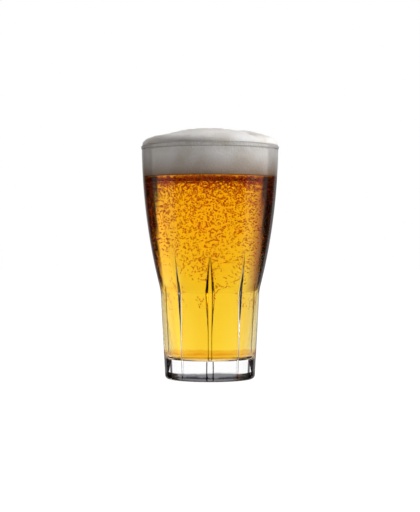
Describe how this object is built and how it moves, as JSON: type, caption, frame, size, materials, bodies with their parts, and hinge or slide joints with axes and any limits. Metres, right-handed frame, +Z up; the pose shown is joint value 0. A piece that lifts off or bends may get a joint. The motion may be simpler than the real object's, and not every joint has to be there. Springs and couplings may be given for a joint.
{
  "type": "pint of beer",
  "caption": "Tall tumbler with a flared bowl and a grooved, heavy-based lower body, filled with golden beer under a domed head of foam.",
  "frame": {"origin": "middle of the foot, on the surface the glass stands on", "axes": "+Z up along the glass's axis, -Y towards the viewer, with a flat stretch between two grooves facing it"},
  "size_m": [0.0912, 0.0912, 0.1658],
  "materials": {
    "clear_glass": "clear polished",
    "beer": "clear golden liquid",
    "foam": "matte fine-bubbled foam"
  },
  "bodies": {
    "root": {"glass": "clear_glass", "beer": "beer", "foam": "foam"}
  },
  "joints": []
}
